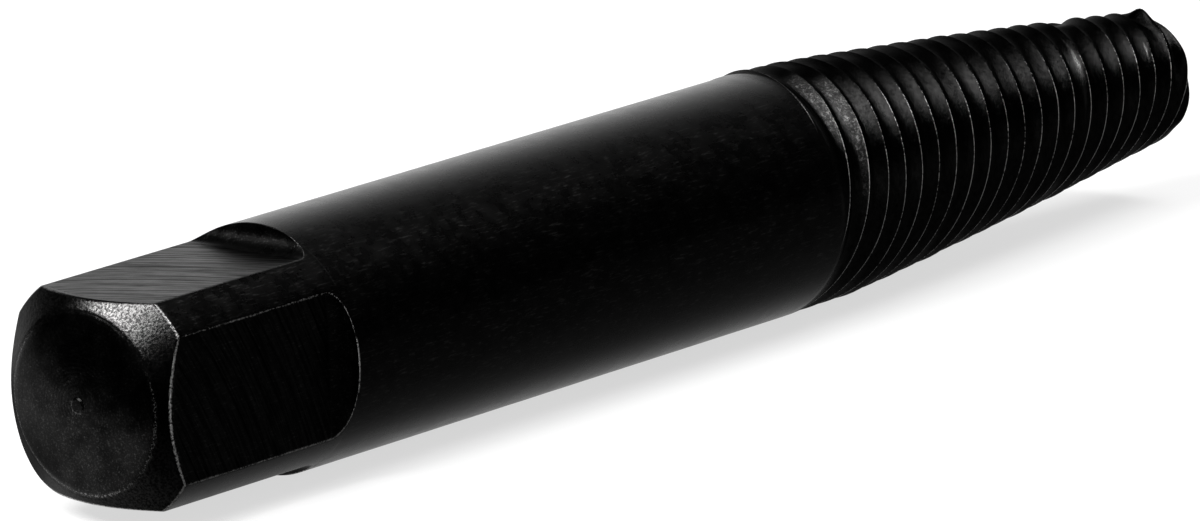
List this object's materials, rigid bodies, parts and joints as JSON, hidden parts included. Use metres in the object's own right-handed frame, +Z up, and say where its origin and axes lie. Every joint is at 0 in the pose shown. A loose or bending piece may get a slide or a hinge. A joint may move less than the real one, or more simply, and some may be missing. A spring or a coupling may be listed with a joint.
{
  "type": "screw extractor",
  "caption": "One-piece left-hand spiral screw extractor with a tapered, fluted nose, a round shank and a chamfered square drive end.",
  "frame": {"origin": "on the surface that the tool lies on, under the middle of its length and its axis", "axes": "+X along the tool's axis from the square drive end to the fluted tip, +Z up as the tool lies, two of the drive square's flats facing +Z and -Z and two facing +Y and -Y"},
  "size_m": [0.0904, 0.0136, 0.0135],
  "materials": {
    "black_oxide_steel": "black oxide, satin, worn bright along the edges and crests"
  },
  "bodies": {
    "root": {"screw_extractor": "black_oxide_steel"}
  },
  "joints": []
}
